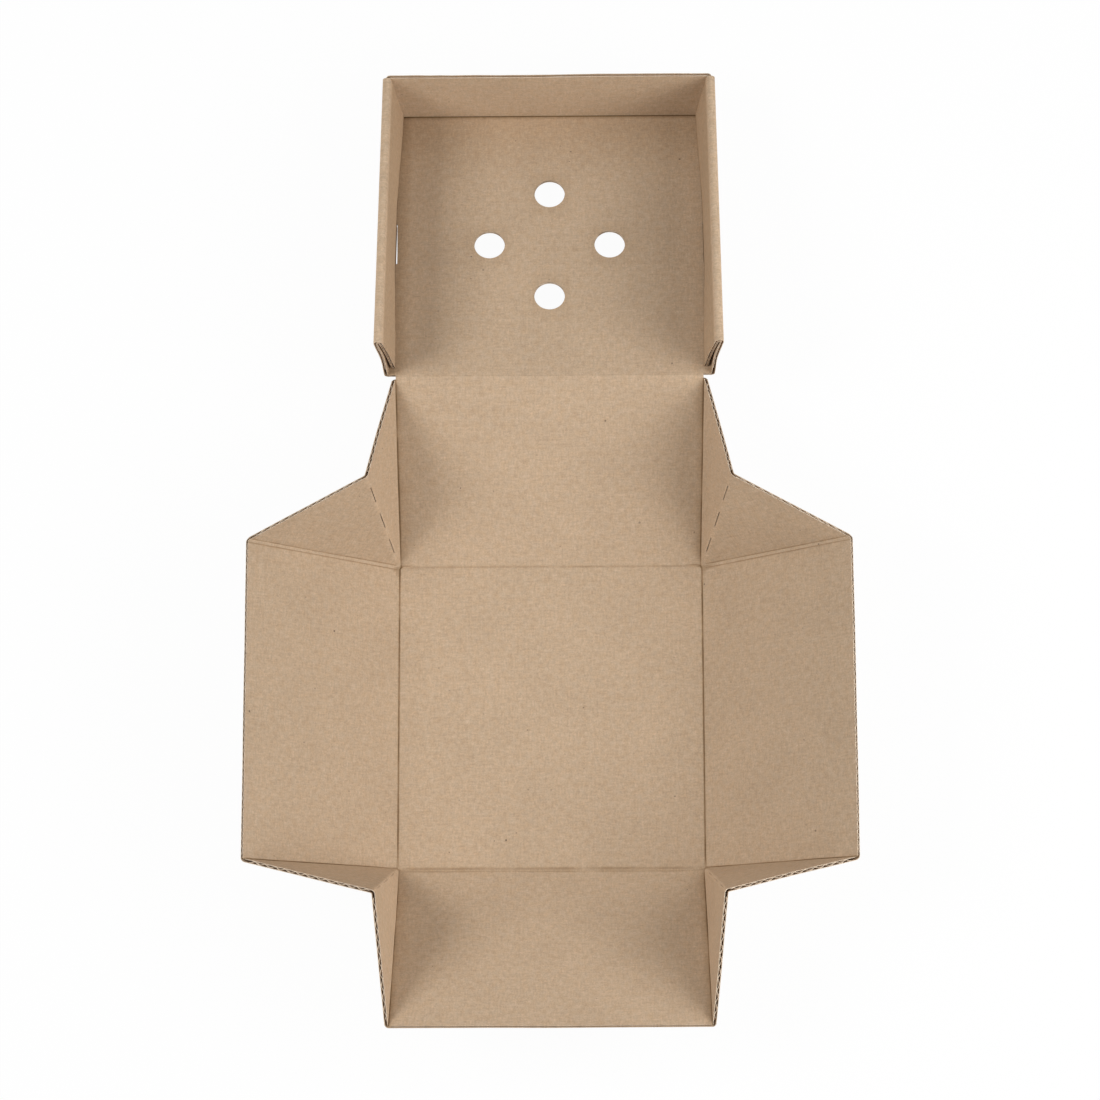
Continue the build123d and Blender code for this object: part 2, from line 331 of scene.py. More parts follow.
class Pile:
    """Points and faces of one object, with the flat place in the blank and the tone of each point."""

    def __init__(self):
        self.points, self.blank, self.tone = [], [], []
        self.faces, self.kinds, self.smooth = [], [], []

    def add(self, points, groups, blank, tone):
        """Groups are (faces, material kind, smooth shading) over the same points."""
        start = len(self.points)
        self.points.extend(points)
        self.blank.extend(blank)
        self.tone.extend(tone)
        for faces, kind, smooth in groups:
            for face in faces:
                self.faces.append([start + index for index in face])
                self.kinds.append(kind)
                self.smooth.append(smooth)

    def make(self, name, materials):
        mesh = bpy.data.meshes.new(name)
        mesh.from_pydata([tuple(p * SCALE) for p in self.points], [], self.faces)
        mesh.polygons.foreach_set("material_index", self.kinds)
        mesh.polygons.foreach_set("use_smooth", self.smooth)
        place = mesh.attributes.new("blank", "FLOAT_VECTOR", "POINT")
        place.data.foreach_set("vector", np.array(self.blank, np.float32).ravel())
        tone = mesh.attributes.new("tone", "FLOAT", "POINT")
        tone.data.foreach_set("value", np.array(self.tone, np.float32))
        for material in materials:
            mesh.materials.append(material)
        mesh.update()
        crisp = {key for polygon in mesh.polygons if not polygon.use_smooth for key in polygon.edge_keys}
        mesh.edges.foreach_set("use_edge_sharp", [edge.key in crisp for edge in mesh.edges])
        return put(name, mesh)


def put(name, data):
    made = bpy.data.objects.new(name, data)
    bpy.context.scene.collection.objects.link(made)
    return made


def corner_normals(points, faces):
    """Angle-weighted normals of a sheet, longer at folds, so that an offset keeps the panels' thickness."""
    normals = np.zeros((len(points), 3))
    facings = []
    for face in faces:
        ring = points[face]
        total = np.zeros(3)
        for a, b in zip(ring, np.roll(ring, -1, 0)):
            total += np.cross(a - ring[0], b - ring[0])
        facing = total / (norm(total) + TINY)
        facings.append(facing)
        for index, here in enumerate(face):
            before = ring[index - 1] - ring[index]
            after = ring[(index + 1) % len(face)] - ring[index]
            spread = norm(before) * norm(after) + TINY
            normals[here] += facing * acos(max(-1.0, min(1.0, float(before @ after) / spread)))
    normals /= norm(normals, axis=1)[:, None] + TINY
    least = np.ones(len(points))
    for face, facing in zip(faces, facings):
        for here in face:
            least[here] = min(least[here], float(normals[here] @ facing))
    return normals / np.clip(least, LEAST_COSINE, 1.0)[:, None]


def add_slab(pile, points, faces, normals, low, high, blank, tone):
    """A closed sheet between two offsets of a middle surface. Its rims are cut board."""
    upper = points + normals * high
    lower = points + normals * low
    count = len(points)
    sides = set()
    for face in faces:
        sides.update(edges_of(face))
    rims = [[a, a + count, b + count, b] for a, b in sides if (b, a) not in sides]
    under = [[index + count for index in face[::-1]] for face in faces]
    groups = [(faces + under, LINER_KIND, True), (sorted(rims), CUT_KIND, False)]
    pile.add(list(upper) + list(lower), groups, list(blank) * 2, list(tone) * 2)


def add_board(pile, points, faces, blank, tone, outside=None, squeeze=None):
    """Both liners of a folded sheet. Marks and painted shade are faint on its outside, unless that liner's
    own tones are given.
    Squeeze is the share of the board's thickness left at each point."""
    if outside is None:
        outside = [OUTSIDE_MARKS_AND_SHADE * value for value in tone]
    normals = corner_normals(points, faces)
    if squeeze is not None:
        normals = normals * np.array(squeeze)[:, None]
    add_slab(pile, points, faces, normals, CORE, HALF, blank, tone)
    add_slab(pile, points, faces, normals, -HALF, -CORE, blank, outside)


def grid_faces(rows, columns):
    starts = [row * columns + column for row in range(rows - 1) for column in range(columns - 1)]
    return [[a, a + 1, a + columns + 1, a + columns] for a in starts]


def add_ribbon(pile, outer, inner, place):
    """A thin closed sheet of fluting over a grid of steps. For each pair of steps, place gives the point, the
    normal and the flat place."""
    rows, columns = len(outer), len(inner)
    grid = [place(a, b) for a in outer for b in inner]
    middle, normals, blank = (np.array(part) for part in zip(*grid))
    shift = normals * (MEDIUM / 2)
    points = np.vstack([middle + shift, middle - shift])
    count = rows * columns
    faces = []
    for face in grid_faces(rows, columns):
        faces += [face, [count + index for index in face[::-1]]]
    numbers = np.arange(count).reshape(rows, columns)
    ring = [*numbers[0], *numbers[1:, -1], *numbers[-1, -2::-1], *numbers[-2:0:-1, 0]]
    caps = [[b, a, count + a, count + b] for a, b in edges_of(ring)]
    groups = [(faces, CUT_KIND, True), (caps, CUT_KIND, False)]
    pile.add(list(points), groups, list(blank) * 2, [0.0] * (2 * count))


def flute(run, phase=0.0):
    """How far the fluting swings from the middle of the board."""
    return WAVE * sin(2 * pi * run / PITCH + phase)


def tray_corner(side, end):
    """Foot, side wall top, end wall top and web point of one corner, folded and in the blank."""
    rise = FRONT_RISE if end < 0 else BACK_RISE
    height = WALL if end < 0 else BACK_WALL
    short = 0 if end < 0 else HINGE_HALF
    spread = height * tan(FLARE)
    foot = point(side * BASE / 2, end * BASE / 2, HALF)
    side_top = foot + point(side * WALL * cos(SIDE_RISE), end * FLARE_RUN, WALL * sin(SIDE_RISE))
    end_top = foot + point(side * spread, end * height * cos(rise), height * sin(rise))
    to_side = unit(side_top - foot)
    to_end = unit(end_top - foot)
    across = (to_side + to_end) * (cos(HALF_CORNER) / (1 + float(to_side @ to_end)))
    normal = unit(np.cross(to_side, to_end))
    if normal[2] < 0:
        normal = -normal
    web = foot + (across + normal * sqrt(1 - float(across @ across))) * WEB_CREASE
    folded = {"foot": foot, "side": side_top, "end": end_top - to_end * short, "web": web}
    steps = {"foot": (0, 0), "side": (WALL, FLARE_RUN), "end": (spread, height - short)}
    steps["web"] = (WEB_CREASE / sqrt(2), WEB_CREASE / sqrt(2))
    return folded, {name: foot[:2] + np.array(step) * (side, end) for name, step in steps.items()}


def tray_corners():
    """All corners of the tray by name, side and end, folded and in the flat blank."""
    folded, flat = {}, {}
    for side, end in CORNERS:
        for places, found in zip((folded, flat), tray_corner(side, end)):
            places.update({(name, side, end): place for name, place in found.items()})
    return folded, flat


def panels_of_tray():
    """Base, right and left wall, front and back wall, and the webs, as rings of corner names."""
    panels = [[("foot", -1, -1), ("foot", 1, -1), ("foot", 1, 1), ("foot", -1, 1)]]
    panels += [[("foot", a, -a), ("side", a, -a), ("side", a, a), ("foot", a, a)] for a in (1, -1)]
    panels += [[("foot", a, a), ("end", a, a), ("end", -a, a), ("foot", -a, a)] for a in SIDES]
    for side, end in CORNERS:
        for names in (("foot", "side", "web"), ("foot", "web", "end")):
            web = [(name, side, end) for name in names]
            panels.append(web if side * end > 0 else web[::-1])
    return panels


def folds_of(panels):
    """Edges shared by two panels, as pairs of corner names, with the numbers of the panels."""
    seen = {}
    for number, panel in enumerate(panels):
        for a, b in edges_of(panel):
            seen.setdefault(frozenset((a, b)), []).append(number)
    return {edge: owners for edge, owners in seen.items() if len(owners) == 2}


Plane = namedtuple("Plane", "origin first second normal outline turn start")


def panel_plane(panel):
    """A panel's origin, axes and normal, its outline in those axes and its map to the flat blank."""
    ring = [corners[key] for key in panel]
    first = unit(ring[1] - ring[0])
    normal = unit(np.cross(ring[1] - ring[0], ring[2] - ring[0]))
    second = np.cross(normal, first)
    outline = np.array([[(p - ring[0]) @ first, (p - ring[0]) @ second] for p in ring])
    source = np.array([outline[1] - outline[0], outline[2] - outline[0]]).T
    start = flats[panel[0]]
    target = np.array([flats[panel[1]] - start, flats[panel[2]] - start]).T
    return Plane(ring[0], first, second, normal, outline, target @ inv(source), start)


corners, flats = tray_corners()
tray_panels = panels_of_tray()
tray_folds = folds_of(tray_panels)
tray_planes = [panel_plane(panel) for panel in tray_panels]


def parts_of(faces):
    return list({v for f in faces for v in f.verts}) + list({e for f in faces for e in f.edges}) + faces


def cut_plane(bm, parts, place, normal):
    bmesh.ops.bisect_plane(bm, geom=parts, dist=CUT_LEAST, plane_co=place, plane_no=normal)


def merge_near(bm):
    bmesh.ops.remove_doubles(bm, verts=bm.verts[:], dist=MERGE)
    bmesh.ops.dissolve_degenerate(bm, edges=bm.edges[:], dist=MERGE)


def cut_beside_folds(bm):
    """Cuts each panel along its folds, so that the shading and the marks of a fold stay beside it."""
    bm.normal_update()
    for panel, plane in zip(tray_panels, tray_planes):
        origin, normal = Vector(plane.origin), Vector(plane.normal)

        def on_panel(face):
            gap = (face.calc_center_median() - origin).dot(normal)
            return face.normal.dot(normal) > FLAT_COSINE and abs(gap) < FLAT_GAP

        for a, b in edges_of(panel):
            if frozenset((a, b)) not in tray_folds:
                continue
            inward = normal.cross(Vector(corners[b] - corners[a])).normalized()
            for gap in BESIDE_FOLDS:
                faces = [face for face in bm.faces if on_panel(face)]
                cut_plane(bm, parts_of(faces), Vector(corners[a]) + inward * gap, inward)
                bm.normal_update()


def bevelled_tray():
    """The tray's middle surface with rounded folds and a grid over its panels."""
    bm = bmesh.new()
    verts = {key: bm.verts.new(Vector(place)) for key, place in corners.items()}
    for panel in tray_panels:
        bm.faces.new([verts[key] for key in panel])
    creases = [bm.edges.get([verts[key] for key in edge]) for edge in tray_folds]
    bmesh.ops.bevel(
        bm, geom=creases, offset=CREASE, offset_type="OFFSET", segments=CREASE_STEPS, profile=0.5,
        affect="EDGES", clamp_overlap=False, loop_slide=False, miter_outer="SHARP", miter_inner="SHARP")
    cut_beside_folds(bm)
    for normal, reach in GRID_REACH:
        for step in range(-reach, reach + 1, GRID):
            parts = bm.verts[:] + bm.edges[:] + bm.faces[:]
            cut_plane(bm, parts, normal * (step + GRID_SHIFT), normal)
    merge_near(bm)
    return bm


def tray_blank(points):
    """Where the points lie in the flat blank, each taken from the panel that it is nearest to."""
    best = np.full(len(points), np.inf)
    place = np.zeros((len(points), 3))
    for plane in tray_planes:
        away = points - plane.origin
        local = np.stack([away @ plane.first, away @ plane.second], 1)
        outside = np.zeros(len(points))
        for a, b in zip(plane.outline, np.roll(plane.outline, -1, 0)):
            along = unit(b - a)
            outside = np.maximum(outside, (local - a) @ np.array([along[1], -along[0]]))
        gap = np.abs(away @ plane.normal) + outside
        flat = local @ plane.turn.T + plane.start
        nearer = gap < best
        place[nearer, :2] = flat[nearer]
        best = np.minimum(best, gap)
    return place


def fold_places(points, normals, edge, owners):
    """How far each point lies across a fold, from the first panel's side to the second's, how far it is from
    the base corner, and whether it is near the fold."""
    keys = sorted(edge)
    a, b = corners[keys[0]], corners[keys[1]]
    length = norm(b - a)
    along = unit(b - a)
    run = (points - a) @ along
    gap = norm(points - a - np.outer(np.clip(run, 0, length), along), axis=1)
    first, second = (tray_planes[number].normal for number in owners)
    whole = acos(float(first @ second))
    turned = np.arccos(np.clip(normals @ first, -1, 1))
    left = np.arccos(np.clip(normals @ second, -1, 1))
    share = turned / whole
    on_fold = np.where(share > FOLD_ENDS[1], gap, (share - 0.5) * 2 * CREASE)
    across = np.where(share < FOLD_ENDS[0], -gap, on_fold)
    beside = (gap < FOLD_REACH) & (turned + left < whole + FOLD_SLACK)
    if keys[0][0] == keys[1][0] == "foot":
        return across, np.minimum(run, length - run), beside
    foot = a if keys[0][0] == "foot" else b
    return across, norm(points - foot, axis=1), beside


def fold_kind(edge):
    kinds = {key[0] for key in edge}
    ends = {key[2] for key in edge}
    if len(ends) == 2:
        return "base_side"
    place = "front" if ends == {-1} else "back"
    if kinds == {"foot"}:
        return "base_" + place
    if "side" in kinds:
        return "side_web_" + place
    return "end_web" if "end" in kinds else "ridge_" + place


def pinch_slits(strip, along):
    """Draws the long sides of a strip of faces towards each other."""
    moved = {}
    for face in strip:
        for vert in face.verts:
            gap = face.calc_center_median() - vert.co
            moved.setdefault(vert, vert.co + (gap - along * gap.dot(along)) * SLIT_PINCH)
    for vert, place in moved.items():
        vert.co = place


def cut_web(bm, side, end):
    """Opens the slits along the ridge of one web."""
    foot = Vector(corners["foot", side, end])
    tip = Vector(corners["web", side, end])
    along = (foot - tip).normalized()
    length = (WEB_CREASE - CUT_TOP - CUT_FOOT - CUT_BRIDGE * (CUTS - 1)) / CUTS
    starts = [CUT_TOP + cut * (length + CUT_BRIDGE) for cut in range(CUTS)]

    def near(face):
        middle = face.calc_center_median() - tip
        return (middle - along * middle.dot(along)).length < RIDGE_REACH

    for start in starts:
        for at in (start, start + length):
            cut_plane(bm, parts_of([face for face in bm.faces if near(face)]), tip + along * at, along)
    owners = tray_folds[frozenset((("foot", side, end), ("web", side, end)))]
    first, second = (Vector(tray_planes[number].normal) for number in owners)
    low, high = SLIT_STRIP[end]
    bm.normal_update()
    strip = []
    for face in bm.faces:
        if near(face) and low < face.normal.angle(first) / first.angle(second) < high:
            run = (face.calc_center_median() - tip).dot(along)
            if any(start < run < start + length for start in starts):
                strip.append(face)
    pinch_slits(strip, along)
    bmesh.ops.delete(bm, geom=strip, context="FACES")


def tray_warp(p):
    """How far the tray's panels wander at a place: not where they rest and not at the hinge."""
    hinge_gap = hypot(p[1] - HINGE[1], p[2] - HINGE[2])
    fade = ease(*REST_FADE, p[2]) * ease(*HINGE_FADE, hinge_gap)
    return (ripple(p, TRAY_WARP) + ripple(p, TRAY_SMALL_WARP)) * fade


def build_tray(pile):
    bm = bevelled_tray()
    for side, end in CORNERS:
        cut_web(bm, side, end)
    merge_near(bm)
    bm.verts.index_update()
    points = np.array([v.co for v in bm.verts])
    faces = [[v.index for v in face.verts] for face in bm.faces]
    bm.free()
    normals = corner_normals(points, faces)
    normals /= norm(normals, axis=1)[:, None]
    tone = np.zeros(len(points))
    lift = np.zeros(len(points))
    for edge, owners in tray_folds.items():
        kind = fold_kind(edge)
        across, feet, beside = fold_places(points, normals, edge, owners)
        for index in np.nonzero(beside)[0]:
            # Strength of a fold's marks and painted shade, uneven along the fold
            mark_strength = FOLD_MARK_LEVEL + ripple(points[index], FOLD_MARK_RIPPLE)
            if kind == "base_front":
                mark_strength *= 1 - lines_at([FRONT_FOLD_BREAK], points[index][0])
            clear = ease(*CORNER_FADE, feet[index])
            tone[index] += lines_at(FOLD_MARKS_AND_SHADE[kind], across[index]) * mark_strength * (0.5 + 0.5 * clear)
            lift[index] += lines_at(FOLD_LIFTS.get(kind, []), across[index]) * clear
    for index, p in enumerate(points):
        lift[index] += tray_warp(p)
    blank = tray_blank(points)
    add_board(pile, points + normals * lift[:, None], faces, blank, np.maximum(tone, DARKEST))
    build_tray_flutes(pile)


def edge_flutes(pile, kind, start, finish, inward, normal):
    """Fluting behind a cut edge of the tray."""
    clear, room = EDGE_FLUTES[kind]
    edge = finish - start
    whole = norm(edge - inward * float(edge @ inward))
    length = whole - clear[0] - clear[1]
    count = int(length / FLUTE_STEP)

    def place(step, part):
        run = clear[0] + step * length / count
        share = run / whole
        depth = min(FLUTE_DEPTH, FLUTE_FILL * (room[0] + (room[1] - room[0]) * share))
        part = depth if part is None else part
        p = start + edge * share + inward * min(part, depth)
        return p + normal * (flute(run) + tray_warp(p)), normal, [run, part, 0.0]

    add_ribbon(pile, range(count + 1), (FLUTE_MOUTH, FLUTE_BEND, None), place)


def panel_normal(*keys):
    """Normal of the tray panel with these corners."""
    for panel, plane in zip(tray_panels, tray_planes):
        if set(panel) == set(keys):
            return plane.normal


def build_tray_flutes(pile):
    for side in SIDES:
        keys = [(name, side, end) for name in ("foot", "side") for end in SIDES]
        _, foot, front, back = (corners[key] for key in keys)
        inward = unit(unit(foot - back) * (1, 0, 1))
        edge_flutes(pile, "side", front, back, inward, panel_normal(*keys))
        for end in SIDES:
            keys = [(name, side, end) for name in ("side", "foot", "web", "end")]
            top, foot, web, tip = (corners[key] for key in keys)
            edge_flutes(pile, "side_web", top, web, unit(foot - top), panel_normal(*keys[:3]))
            to_end = unit(tip - foot)
            across = (web - foot) - to_end * float((web - foot) @ to_end)
            edge_flutes(pile, "end_web", web, tip, -unit(across), panel_normal(*keys[1:]))
    keys = [(name, side, -1) for name in ("foot", "end") for side in SIDES]
    _, foot, left, right = (corners[key] for key in keys)
    normal = panel_normal(*keys)
    inward = unit((foot - right) * (0, 1, 1))

    def place(step, column):
        run = FLUTE_INSET + step * FLUTE_STEP
        share = (1 - FRONT_EDGE_SHARE) / 2 + FRONT_EDGE_SHARE * column / FRONT_EDGE_COLUMNS
        p = left + (right - left) * share + inward * run
        lift = flute(run, FRONT_EDGE_PHASE) + tray_warp(p)
        return p + normal * lift, normal, [column * 5.0, run, 0.0]

    add_ribbon(pile, FLUTE_GRID, range(FRONT_EDGE_COLUMNS + 1), place)


def lid_half(y):
    return LID_HALF - y * tan(TAPER)


def to_box(p):
    """A point of the lid's frame in the frame of the box."""
    return HINGE + point(p[0], 0, 0) + LID_DOWN * p[1] + LID_UP * p[2]


def fillet(before, corner, after, cut, steps):
    """Points round a fold between two directions, cut back by the same length on both sides."""
    turn = acos(max(-1.0, min(1.0, float(before @ after))))
    radius = cut / tan(turn / 2)
    inner = unit(after - before)
    centre = corner + inner * (cut / sin(turn / 2))
    side = unit(before + after)
    angles = [turn * (step / steps - 0.5) for step in range(steps + 1)]
    return [centre + (side * sin(a) - inner * cos(a)) * radius for a in angles]


def side_profile():
    """Section of a lid side wall, up its outer layer, over the rim and down its inner layer: outward and
    upward place of each point, its name and its length along the board."""
    flat = np.array([1.0, 0.0])
    up = np.array([sin(LEAN), cos(LEAN)])
    inward = np.array([-cos(LEAN), sin(LEAN)])
    down = np.array([-tan(INNER_LEAN), -1.0])
    places = [(p, "crease") for p in fillet(flat, np.zeros(2), up, CREASE, CREASE_STEPS)]
    for step in range(1, OUTER_STEPS + 1):
        places.append((up * (CREASE + (STRAIGHT - CREASE) * step / OUTER_STEPS), "outer"))
    centre = up * STRAIGHT + inward * RIM_RADIUS
    for step in range(1, RIM_STEPS + 1):
        angle = (pi - SPREAD) * step / RIM_STEPS
        around = up * RIM_RADIUS * sin(angle) - inward * RIM_RADIUS * cos(angle)
        places.append((centre + around, "rim"))
    last = places[-1][0]
    drop = last[1] - HALF - FOOT_GAP
    for share in [step / INNER_STEPS for step in range(1, INNER_STEPS)] + [FOOT_SHARE]:
        places.append((last + down * drop * share, "inner"))
    places.append((last + down * drop, "foot"))
    lengths = [0.0]
    for (a, _), (b, _) in pairwise(places):
        lengths.append(lengths[-1] + float(norm(b - a)))
    return [(p[0], p[1], name, length) for (p, name), length in zip(places, lengths)]


def front_rows():
    """Section of the lid's front wall: distance down the lid, height and share of the fold, None above it."""
    up = np.array([sin(FRONT_TILT), cos(FRONT_TILT)])
    arc = fillet(np.array([1.0, 0.0]), np.array([LID_DEPTH, 0.0]), up, CREASE, CREASE_STEPS)
    rows = [(p[0], p[1], step / CREASE_STEPS) for step, p in enumerate(arc)]
    return rows + [(LID_DEPTH + z * tan(FRONT_TILT), z, None) for z in FRONT_HEIGHTS]


PROFILE = side_profile()
PROFILE_LAST = len(PROFILE) - 1
RIM_TOP = max(place[1] for place in PROFILE)
FRONT_ROWS = front_rows()
END_FOLD = fillet(np.array([1.0, 0.0]), np.zeros(2), np.array([0.0, -1.0]), TAB_FOLD, TAB_FOLD_STEPS)


def pressed_out(y):
    """How far the inner layer's foot is pressed outwards, most of all at the lock tab."""
    for (a, low), (b, high) in pairwise(PRESSED_SPOTS):
        if y <= b:
            return PRESSED * (low + (high - low) * ease(a, b, y))
    return PRESSED * PRESSED_SPOTS[-1][1]


def wall_place(side, index, y):
    """Middle of the board at a point of the side wall's section, that far down the lid, in the lid's frame.
    The inner layer's rear corner is trimmed towards its foot, and the rear ends are a little crushed."""
    out, up, name, _ = PROFILE[index]
    if name in ("inner", "foot"):
        drop = (RIM_TOP - up) / (RIM_TOP - HALF)
        y += INNER_TRIM * drop * max(0.0, 1 - y / TRIM_FADE)
        out += pressed_out(y) * drop ** PRESSED_POWER
    if name not in CRUSH:
        return point(side * (lid_half(y) + out), y, up)
    out -= CRUSH[name] * hump(y, 0, CRUSH_REACH) * sin(pi * min(1.0, up / RIM_TOP)) ** 2
    place = point(side * (lid_half(y) + out), y, up)
    fade = ease(*WALL_FOOT_FADE, up) * ease(*WALL_TOP_FADE, RIM_TOP - up)
    place[0] += side * ripple(place, WALL_WARP) * fade * ease(*WALL_END_FADE, y)
    return place


def wall_tone(side, index, y):
    name = PROFILE[index][2]
    tone = WALL_TONES[name]
    # Uneven along the wall: rub on the rim, painted shade at the foot
    if name in WALL_RUB_AND_SHADE:
        tone += ripple((side * WALL_RIPPLE_X, y, 0), WALL_RUB_AND_SHADE[name])
    # Painted shade in the gap at the lock tab
    if name == "foot":
        tone += LOCK_TONE * (1 - ease(*LOCK_TONE_FADE, abs(y - LOCK_MIDDLE)))
    return tone


def panel_x(column, y):
    """Place of a column across the panel."""
    if isinstance(column, float):
        return column
    side, inset = column
    x = side * (lid_half(y) - inset)
    if inset > CREASE:
        narrow = ease(TAB_START, SLOT_END, y) * (1 - ease(SLOT_END, DAYLIGHT_FADE, y))
        x += side * DAYLIGHT_TAPER * DAYLIGHT[side] * narrow
    return x


def lid_warp(x, y):
    """Gentle warp of the lid's panel, none at the hinge and at the creases."""
    edge = min(lid_half(y) - abs(x), y, LID_DEPTH - y)
    return ripple((x, y, 0), LID_WARP) * ease(*PANEL_FADE, edge)


def front_warp(x, y, z):
    """Gentle warp of the lid's front wall, none at its foot and at its ends."""
    fade = ease(*FRONT_FOOT_FADE, z) * ease(*FRONT_END_FADE, TAB_FOOT - abs(x))
    return ripple((x, y, z), FRONT_WARP) * fade


def front_spread(height):
    """How much wider the front wall is at a height than at its foot."""
    return height * tan(LEAN)


class LidSheet:
    """The lid's middle surface, put together from named points."""

    def __init__(self):
        self.index = {}
        self.rows = []
        self.faces = []

    def at(self, key, place, flat, tone, squeeze=1.0):
        """Number of a named point, from its place in the lid's frame and in the flat lid, its tone and the
        share of the board's thickness left there."""
        if key not in self.index:
            self.index[key] = len(self.rows)
            outside = tone if key[0] == "wall" else OUTSIDE_MARKS_AND_SHADE * tone
            self.rows.append((to_box(place), point(flat[0], LID_BLANK + flat[1], 0), tone, outside, squeeze))
        return self.index[key]

    def cell(self, at, a, b, near, far, side=1):
        """A face between two columns and two rows, turned over on the left side."""
        ring = [at(a, near), at(b, near), at(b, far), at(a, far)]
        self.faces.append(ring if side > 0 else ring[::-1])

    def panel_point(self, column, y):
        x = panel_x(column, y)
        # Painted shade: the front crease's dark line, also a score mark, and darkening towards the front wall
        tone = lines_at([PANEL_FOLD], y) + PANEL_SHADE * ease(PANEL_SHADE_START, PANEL_END, y)
        # Painted shade beside the foot
        if not isinstance(column, float):
            tone += FOOT_SHADE[column[0]]
        return self.at(("panel", column, y), point(x, y, lid_warp(x, y)), (x, y), tone)

    def wall_point(self, side, index, y):
        """The section's first point is the panel's, and one past its last is the end of the lock tab."""
        if index == 0 and y <= PANEL_END:
            return self.panel_point((side, CREASE), y)
        edge = lid_half(y) - CREASE
        if index > PROFILE_LAST:
            foot = wall_place(side, PROFILE_LAST, y)
            down = unit(foot - wall_place(side, PROFILE_LAST - 1, y))
            flat = (side * (edge + PROFILE[PROFILE_LAST][3] + LOCK_DROP), y)
            return self.at(("tab", side, y), foot + down * LOCK_DROP / -down[2], flat, LOCK_TAB_TONE)
        flat = (side * (edge + PROFILE[index][3]), y)
        return self.at(("wall", side, index, y), wall_place(side, index, y), flat, wall_tone(side, index, y))

    def front_point(self, column, row):
        if row == 0:
            return self.panel_point(column, PANEL_END)
        y, z, share = FRONT_ROWS[row]
        foot = panel_x(column, PANEL_END)
        x = foot + copysign(front_spread(z), foot) * abs(foot) / TAB_FOOT
        # Score mark and painted shade along the front crease
        tone = 0.0 if share is None else lines_at([FRONT_FOLD_TONE], share)
        warp = front_warp(x, y, z)
        if z > FRONT_TOP:
            warp += ripple((x, 0, 0), FRONT_TOP_WARP)
        return self.at(("front", column, row), point(x, y + warp, z), (foot, LID_DEPTH + z), tone)

    def end_point(self, side, step, row):
        """Steps go from the front wall's last column, step -1, round the end fold and along the end tab."""
        if step < 0:
            return self.front_point(COLUMNS[-2] if side > 0 else COLUMNS[1], row)
        y, z, _ = FRONT_ROWS[row]
        if step <= TAB_FOLD_STEPS:
            place = END_FOLD[step]
            squeeze = 1.0 - (1.0 - TAB_PRESSED) * step / TAB_FOLD_STEPS
        else:
            along = TAB_FOLD + TAB_RUN[step - TAB_FOLD_STEPS]
            place = (along * sin(TAPER), -along)
            squeeze = TAB_PRESSED
        x = side * (TAB_FOOT + front_spread(z) + place[0])
        flat = (side * (TAB_FOOT + step), LID_DEPTH + z)
        return self.at(("end", side, step, row), point(x, y + place[1], z), flat, END_TAB_TONE, squeeze)


def grid_span(values, middle):
    """The grid values that a vent about this middle takes up."""
    low = max(v for v in values if v <= middle - VENT_BLOCK)
    high = min(v for v in values if v >= middle + VENT_BLOCK)
    return [v for v in values if low <= v <= high]


def add_vent(sheet, middle, across, down):
    """Faces between a vent's round edge and the ring of grid points about it."""
    ring = [(v, down[0]) for v in across] + [(across[-1], v) for v in down[1:]]
    ring += [(v, down[-1]) for v in across[-2::-1]] + [(across[0], v) for v in down[-2:0:-1]]
    angles = [atan2(y - middle[1], x - middle[0]) for x, y in ring]
    for place, (here, after) in enumerate(edges_of(ring)):
        turn = (angles[(place + 1) % len(ring)] - angles[place]) % (2 * pi)
        arc = []
        for step in range(VENT_STEPS + 1):
            angle = angles[place] + turn * step / VENT_STEPS
            key = ("vent", middle, (place + step // VENT_STEPS) % len(ring), step % VENT_STEPS)
            x, y = middle[0] + VENT / 2 * cos(angle), middle[1] + VENT / 2 * sin(angle)
            arc.append(sheet.at(key, point(x, y, lid_warp(x, y)), (x, y), VENT_TONE))
        sheet.faces.append([sheet.panel_point(*here), sheet.panel_point(*after)] + arc[::-1])


def in_slot(near, far):
    return near >= SLOT_START and far <= SLOT_END


def build_panel(sheet):
    blocks = [(grid_span(PANEL_X, x), grid_span(PANEL_Y, y)) for x, y in VENTS]
    for left, right in pairwise(COLUMNS):
        at_edge = isinstance(left, tuple) and isinstance(right, tuple)
        inside = isinstance(left, float) and isinstance(right, float)
        for near, far in pairwise(PANEL_Y):
            if at_edge and in_slot(near, far):
                continue
            if inside:
                x, y = (left + right) / 2, (near + far) / 2
                if any(xs[0] < x < xs[-1] and ys[0] < y < ys[-1] for xs, ys in blocks):
                    continue
            sheet.cell(sheet.panel_point, left, right, near, far)
    for vent, block in zip(VENTS, blocks):
        add_vent(sheet, vent, *block)


def build_walls(sheet):
    tab_rows = [y for y in PANEL_Y if TAB_START <= y <= TAB_END]
    for side in SIDES:
        at = partial(sheet.wall_point, side)
        for index in range(PROFILE_LAST):
            for near, far in pairwise(WALL_Y):
                if index >= SLOT_CREASE or not in_slot(near, far):
                    sheet.cell(at, index, index + 1, near, far, side)
        for near, far in pairwise(tab_rows):
            sheet.cell(at, PROFILE_LAST, PROFILE_LAST + 1, near, far, side)


def build_front(sheet):
    last = len(FRONT_ROWS) - 1
    for left, right in pairwise(COLUMNS[1:-1]):
        for row in range(last):
            sheet.cell(sheet.front_point, left, right, row, row + 1)
    tab_rows = [row for row in range(CREASE_STEPS, last) if FRONT_ROWS[row][1] <= TAB_HEIGHT]
    for side in SIDES:
        at = partial(sheet.end_point, side)
        for row in range(CREASE_STEPS, last):
            for step in range(-1, TAB_FOLD_STEPS):
                sheet.cell(at, step, step + 1, row, row + 1, side)
        for row, above in pairwise(tab_rows):
            for step in range(TAB_FOLD_STEPS, TAB_FOLD_STEPS + len(TAB_RUN) - 1):
                sheet.cell(at, step, step + 1, row, above, side)


